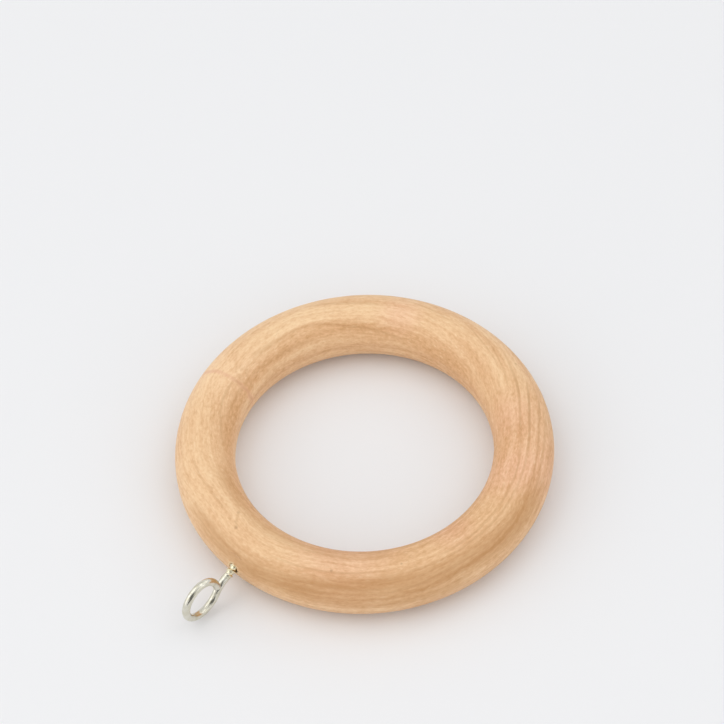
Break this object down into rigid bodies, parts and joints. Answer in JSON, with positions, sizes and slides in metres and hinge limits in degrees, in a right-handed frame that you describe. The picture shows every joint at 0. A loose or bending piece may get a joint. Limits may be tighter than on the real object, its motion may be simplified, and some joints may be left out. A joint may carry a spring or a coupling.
{
  "type": "wooden curtain ring",
  "caption": "Turned wooden curtain ring of round section that slides on a pole, with a wire screw eye in its rim for the curtain hook.",
  "frame": {"origin": "middle of the pole hole, half-way through the ring's thickness", "axes": "+Z along the ring's axis, with the ring lying flat; the screw eye stands out of the rim along -Y; +X completes the frame and is close to the eye's own axis"},
  "size_m": [0.082, 0.0973, 0.013],
  "materials": {
    "wood": "bare pale hardwood, turned and fine sanded, with a soft satin sheen",
    "nickel": "bright nickel plate on drawn steel wire"
  },
  "bodies": {
    "root": {"wooden_ring": "wood", "screw_eye": "nickel"}
  },
  "joints": []
}
